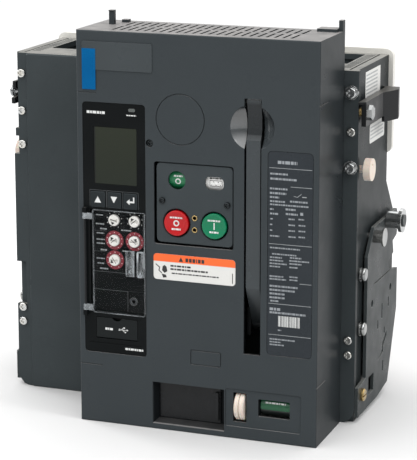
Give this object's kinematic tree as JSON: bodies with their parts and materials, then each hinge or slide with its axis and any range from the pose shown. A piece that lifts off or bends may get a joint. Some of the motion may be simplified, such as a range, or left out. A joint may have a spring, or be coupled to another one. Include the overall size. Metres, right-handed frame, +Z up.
{
  "type": "air circuit breaker",
  "caption": "Withdrawable low-voltage air circuit breaker with a front cover, trip unit, charging handle, push buttons, side rollers and plug-in rear blades.",
  "frame": {"origin": "centre of the footprint on the base plane", "axes": "+Z up, the operating face looks along -Y, +X to the right seen from the front"},
  "size_m": [0.352, 0.24, 0.348],
  "materials": {
    "case_plastic": "satin moulded thermoset, fine spark texture",
    "panel_plastic": "satin moulded thermoset",
    "bezel_plastic": "satin",
    "black_plastic": "satin",
    "pale_plastic": "satin",
    "cream_nylon": "satin",
    "white_dial": "satin",
    "key_rubber": "matt",
    "red_button": "gloss",
    "green_button": "gloss",
    "clear_plastic": "gloss",
    "display": "gloss",
    "led": "gloss",
    "label": "satin",
    "nameplate": "gloss",
    "badge": "gloss",
    "board": "satin",
    "painted_steel": "satin powder coat",
    "black_steel": "satin",
    "zinc_steel": "zinc plated",
    "bright_steel": "turned",
    "spring_steel": "oiled",
    "copper": "silvered copper",
    "brass": "satin",
    "flag": "satin",
    "motor": "satin",
    "resin": "satin"
  },
  "bodies": {
    "breaker": {"arc_chutes": "resin", "badge_plate": "badge", "brass_studs": "brass", "charging_motor": "motor", "closing_springs": "spring_steel", "collar_bolts": "bright_steel", "control_label": "label", "control_plate": "bezel_plastic", "current_sensors": "black_plastic", "display_window": "display", "front_cover": "case_plastic", "front_panel": "panel_plastic", "handle_pin": "bright_steel", "lower_terminals": "copper", "mechanism_frame": "black_steel", "nameplate": "nameplate", "panel_screws": "zinc_steel", "pole_casing": "panel_plastic", "rear_shield": "pale_plastic", "release_coils": "zinc_steel", "settings_cover_pin": "black_steel", "side_bracket_left": "black_steel", "side_bracket_right": "black_steel", "side_plate_left": "painted_steel", "side_plate_right": "painted_steel", "side_studs": "zinc_steel", "status_led": "led", "test_socket": "zinc_steel", "trip_unit_board": "board", "trip_unit_housing": "bezel_plastic", "upper_terminals": "copper"},
    "key_up": {"key_up": "key_rubber"},
    "key_down": {"key_down": "key_rubber"},
    "key_enter": {"key_enter": "key_rubber"},
    "settings_cover": {"settings_cover": "clear_plastic"},
    "aux_port_cover": {"aux_port_cover": "bezel_plastic"},
    "open_button": {"open_button": "red_button"},
    "close_button": {"close_button": "green_button"},
    "charging_handle": {"charging_handle": "bezel_plastic"},
    "contact_indicator": {"contact_indicator": "flag"},
    "spring_indicator": {"spring_indicator": "flag"},
    "position_indicator": {"position_indicator": "flag"},
    "selector_wheel": {"selector_wheel": "cream_nylon"},
    "racking_shutter": {"racking_shutter": "black_plastic"},
    "racking_shaft": {"racking_shaft": "zinc_steel"},
    "pole_shaft": {"pole_shaft": "spring_steel"},
    "charging_shaft": {"charging_shaft": "spring_steel"},
    "roller_left": {"roller_left": "bright_steel"},
    "roller_right": {"roller_right": "bright_steel"},
    "guide_disc_left": {"guide_disc_left": "cream_nylon"},
    "guide_disc_right": {"guide_disc_right": "cream_nylon"},
    "dial_1": {"dial_1": "white_dial"},
    "dial_2": {"dial_2": "white_dial"},
    "dial_3": {"dial_3": "white_dial"},
    "dial_4": {"dial_4": "white_dial"},
    "dial_5": {"dial_5": "white_dial"},
    "moving_contact_1": {"moving_contact_1": "copper"},
    "moving_contact_2": {"moving_contact_2": "copper"},
    "moving_contact_3": {"moving_contact_3": "copper"},
    "moving_contact_4": {"moving_contact_4": "copper"}
  },
  "joints": [
    {"name": "key_up_press", "type": "slide", "parent": "breaker", "child": "key_up", "axis": [0, 1, 0], "range_m": [0, 0.0012], "stiffness_N_per_m": 600},
    {"name": "key_down_press", "type": "slide", "parent": "breaker", "child": "key_down", "axis": [0, 1, 0], "range_m": [0, 0.0012], "stiffness_N_per_m": 600},
    {"name": "key_enter_press", "type": "slide", "parent": "breaker", "child": "key_enter", "axis": [0, 1, 0], "range_m": [0, 0.0012], "stiffness_N_per_m": 600},
    {"name": "open_button_press", "type": "slide", "parent": "breaker", "child": "open_button", "axis": [0, 1, 0], "range_m": [0, 0.004], "stiffness_N_per_m": 1500},
    {"name": "close_button_press", "type": "slide", "parent": "breaker", "child": "close_button", "axis": [0, 1, 0], "range_m": [0, 0.004], "stiffness_N_per_m": 1500},
    {"name": "settings_cover_swing", "type": "hinge", "parent": "breaker", "child": "settings_cover", "pos_m": [-0.0581, -0.1178, 0.14], "axis": [0, 0, -1], "range_deg": [0, 110]},
    {"name": "aux_cover_swing", "type": "hinge", "parent": "breaker", "child": "aux_port_cover", "pos_m": [-0.031, -0.1145, 0.076], "axis": [1, 0, 0], "range_deg": [0, 95]},
    {"name": "handle_pull", "type": "hinge", "parent": "breaker", "child": "charging_handle", "pos_m": [0.0895, -0.09, 0.098], "axis": [1, 0, 0], "range_deg": [0, 80], "stiffness_Nm_per_rad": 0.12, "springref_deg": -34.38},
    {"name": "shutter_slide", "type": "slide", "parent": "breaker", "child": "racking_shutter", "axis": [-1, 0, 0], "range_m": [0, 0.04]},
    {"name": "racking_shaft_turn", "type": "hinge", "parent": "breaker", "child": "racking_shaft", "pos_m": [0.033, -0.076, 0.023], "axis": [0, -1, 0], "range_deg": [0, 1800]},
    {"name": "position_flag_turn", "type": "hinge", "parent": "breaker", "child": "position_indicator", "pos_m": [0.109, -0.1034, 0.029], "axis": [1, 0, 0], "range_deg": [-1, 91]},
    {"name": "selector_turn", "type": "hinge", "parent": "breaker", "child": "selector_wheel", "pos_m": [0.0787, -0.1075, 0.0272], "axis": [1, 0, 0], "range_deg": [-60, 60]},
    {"name": "pole_shaft_turn", "type": "hinge", "parent": "breaker", "child": "pole_shaft", "pos_m": [0, -0.024, 0.13], "axis": [-1, 0, 0], "range_deg": [0, 50]},
    {"name": "contact_flag_turn", "type": "hinge", "parent": "breaker", "child": "contact_indicator", "pos_m": [0.0232, -0.101, 0.2156], "axis": [1, 0, 0], "range_deg": [-1, 91]},
    {"name": "charging_shaft_turn", "type": "hinge", "parent": "breaker", "child": "charging_shaft", "pos_m": [0.039, -0.072, 0.14], "axis": [1, 0, 0], "range_deg": [0, 180]},
    {"name": "spring_flag_turn", "type": "hinge", "parent": "breaker", "child": "spring_indicator", "pos_m": [0.056, -0.101, 0.2156], "axis": [1, 0, 0], "range_deg": [-1, 91]},
    {"name": "contact_1_swing", "type": "hinge", "parent": "breaker", "child": "moving_contact_1", "pos_m": [-0.105, 0.028, 0.095], "axis": [-1, 0, 0], "range_deg": [-0.5, 20.5]},
    {"name": "contact_2_swing", "type": "hinge", "parent": "breaker", "child": "moving_contact_2", "pos_m": [-0.035, 0.028, 0.095], "axis": [-1, 0, 0], "range_deg": [-0.5, 20.5]},
    {"name": "contact_3_swing", "type": "hinge", "parent": "breaker", "child": "moving_contact_3", "pos_m": [0.035, 0.028, 0.095], "axis": [-1, 0, 0], "range_deg": [-0.5, 20.5]},
    {"name": "contact_4_swing", "type": "hinge", "parent": "breaker", "child": "moving_contact_4", "pos_m": [0.105, 0.028, 0.095], "axis": [-1, 0, 0], "range_deg": [-0.5, 20.5]},
    {"name": "dial_1_turn", "type": "hinge", "parent": "breaker", "child": "dial_1", "pos_m": [-0.0335, -0.112, 0.1772], "axis": [0, -1, 0], "range_deg": [-150, 150]},
    {"name": "dial_2_turn", "type": "hinge", "parent": "breaker", "child": "dial_2", "pos_m": [-0.0152, -0.112, 0.1774], "axis": [0, -1, 0], "range_deg": [-150, 150]},
    {"name": "dial_3_turn", "type": "hinge", "parent": "breaker", "child": "dial_3", "pos_m": [-0.0336, -0.112, 0.1598], "axis": [0, -1, 0], "range_deg": [-150, 150]},
    {"name": "dial_4_turn", "type": "hinge", "parent": "breaker", "child": "dial_4", "pos_m": [-0.0154, -0.112, 0.1601], "axis": [0, -1, 0], "range_deg": [-150, 150]},
    {"name": "dial_5_turn", "type": "hinge", "parent": "breaker", "child": "dial_5", "pos_m": [-0.0333, -0.112, 0.1429], "axis": [0, -1, 0], "range_deg": [-150, 150]},
    {"name": "roller_right_spin", "type": "hinge", "parent": "breaker", "child": "roller_right", "pos_m": [0.168, 0.04, 0.16], "axis": [1, 0, 0], "continuous": true},
    {"name": "roller_left_spin", "type": "hinge", "parent": "breaker", "child": "roller_left", "pos_m": [-0.168, 0.04, 0.16], "axis": [1, 0, 0], "continuous": true},
    {"name": "guide_disc_right_spin", "type": "hinge", "parent": "breaker", "child": "guide_disc_right", "pos_m": [0.16, -0.034, 0.219], "axis": [1, 0, 0], "continuous": true},
    {"name": "guide_disc_left_spin", "type": "hinge", "parent": "breaker", "child": "guide_disc_left", "pos_m": [-0.16, -0.016, 0.211], "axis": [1, 0, 0], "continuous": true}
  ],
  "couplings": [
    {"joint": "contact_1_swing", "follows": "pole_shaft_turn", "ratio": 0.4},
    {"joint": "contact_2_swing", "follows": "pole_shaft_turn", "ratio": 0.4},
    {"joint": "contact_3_swing", "follows": "pole_shaft_turn", "ratio": 0.4},
    {"joint": "contact_4_swing", "follows": "pole_shaft_turn", "ratio": 0.4},
    {"joint": "contact_flag_turn", "follows": "pole_shaft_turn", "ratio": 1.8},
    {"joint": "spring_flag_turn", "follows": "charging_shaft_turn", "ratio": 0.5},
    {"joint": "position_flag_turn", "follows": "racking_shaft_turn", "ratio": 0.05}
  ]
}
